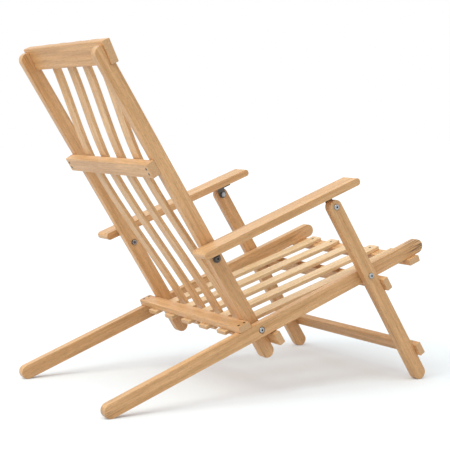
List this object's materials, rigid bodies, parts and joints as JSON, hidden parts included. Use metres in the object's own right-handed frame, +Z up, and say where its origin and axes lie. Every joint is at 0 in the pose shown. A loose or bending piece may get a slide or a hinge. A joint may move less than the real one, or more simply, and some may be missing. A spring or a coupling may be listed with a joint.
{
  "type": "steamer deck chair",
  "caption": "Folding wooden steamer deck chair with a slatted seat and curved slatted back, bar-linked legs and armrests, pivoting on steel bolts.",
  "frame": {"origin": "on the floor, under the middle of the chair's length and width, with the chair open", "axes": "the chair faces -Y, +Z is up, and the sitter's right side is at -X"},
  "size_m": [0.633, 0.9756, 0.916],
  "materials": {
    "timber": "bare sanded hardwood",
    "slat_timber": "bare sanded hardwood",
    "steel": "brushed stainless steel"
  },
  "bodies": {
    "seat_frame": {"seat_rail_right": "timber", "seat_rail_left": "timber", "rear_seat_bar": "timber", "front_seat_bar": "timber", "seat_slat_1": "slat_timber", "seat_slat_2": "slat_timber", "seat_slat_3": "slat_timber", "seat_slat_4": "slat_timber", "seat_slat_5": "slat_timber", "rear_bar_screw_1": "steel", "rear_bar_screw_2": "steel", "rear_bar_screw_3": "steel", "rear_bar_screw_4": "steel", "seat_slat_screw_1": "steel", "seat_slat_screw_2": "steel", "seat_slat_screw_3": "steel", "seat_slat_screw_4": "steel", "seat_slat_screw_5": "steel", "back_pivot_bolt_right": "steel", "back_pivot_bolt_left": "steel", "back_pivot_spacer_right": "steel", "back_pivot_spacer_left": "steel", "back_pivot_nut_right": "steel", "back_pivot_nut_left": "steel", "leg_pivot_bolt_right": "steel", "leg_pivot_bolt_left": "steel", "leg_pivot_washer_right": "steel", "leg_pivot_washer_left": "steel", "leg_pivot_insert_right": "steel", "leg_pivot_insert_left": "steel"},
    "back_frame": {"back_stile_right": "timber", "back_stile_left": "timber", "top_rail": "timber", "mid_rail": "timber", "lower_back_bar": "timber", "back_slat_1": "slat_timber", "back_slat_2": "slat_timber", "back_slat_3": "slat_timber", "back_slat_4": "slat_timber", "mid_rail_screw_1": "steel", "mid_rail_screw_2": "steel", "arm_rear_bolt_right": "steel", "arm_rear_bolt_left": "steel", "arm_rear_nut_right": "steel", "arm_rear_nut_left": "steel"},
    "leg_frame": {"leg_right": "timber", "leg_left": "timber", "upper_leg_bar": "timber", "lower_leg_bar": "timber", "arm_front_bolt_right": "steel", "arm_front_bolt_left": "steel", "arm_front_nut_right": "steel", "arm_front_nut_left": "steel"},
    "right_arm": {"armrest_right": "timber", "arm_rear_bracket_right": "steel", "arm_front_bracket_right": "steel"},
    "left_arm": {"armrest_left": "timber", "arm_rear_bracket_left": "steel", "arm_front_bracket_left": "steel"}
  },
  "joints": [
    {"name": "back_fold", "type": "hinge", "parent": "seat_frame", "child": "back_frame", "pos_m": [0, 0.03938, 0.17865], "axis": [1, 0, 0], "range_deg": [0, 101]},
    {"name": "leg_fold", "type": "hinge", "parent": "seat_frame", "child": "leg_frame", "pos_m": [0, -0.28867, 0.30064], "axis": [1, 0, 0], "range_deg": [0, 101]},
    {"name": "right_arm_swing", "type": "hinge", "parent": "back_frame", "child": "right_arm", "pos_m": [-0.26, 0.1557, 0.36773], "axis": [1, 0, 0], "range_deg": [-101, 0]},
    {"name": "left_arm_swing", "type": "hinge", "parent": "back_frame", "child": "left_arm", "pos_m": [0.26, 0.1557, 0.36773], "axis": [1, 0, 0], "range_deg": [-101, 0]}
  ],
  "couplings": [
    {"joint": "leg_fold", "follows": "back_fold", "ratio": 1},
    {"joint": "right_arm_swing", "follows": "back_fold", "ratio": -1},
    {"joint": "left_arm_swing", "follows": "back_fold", "ratio": -1}
  ]
}
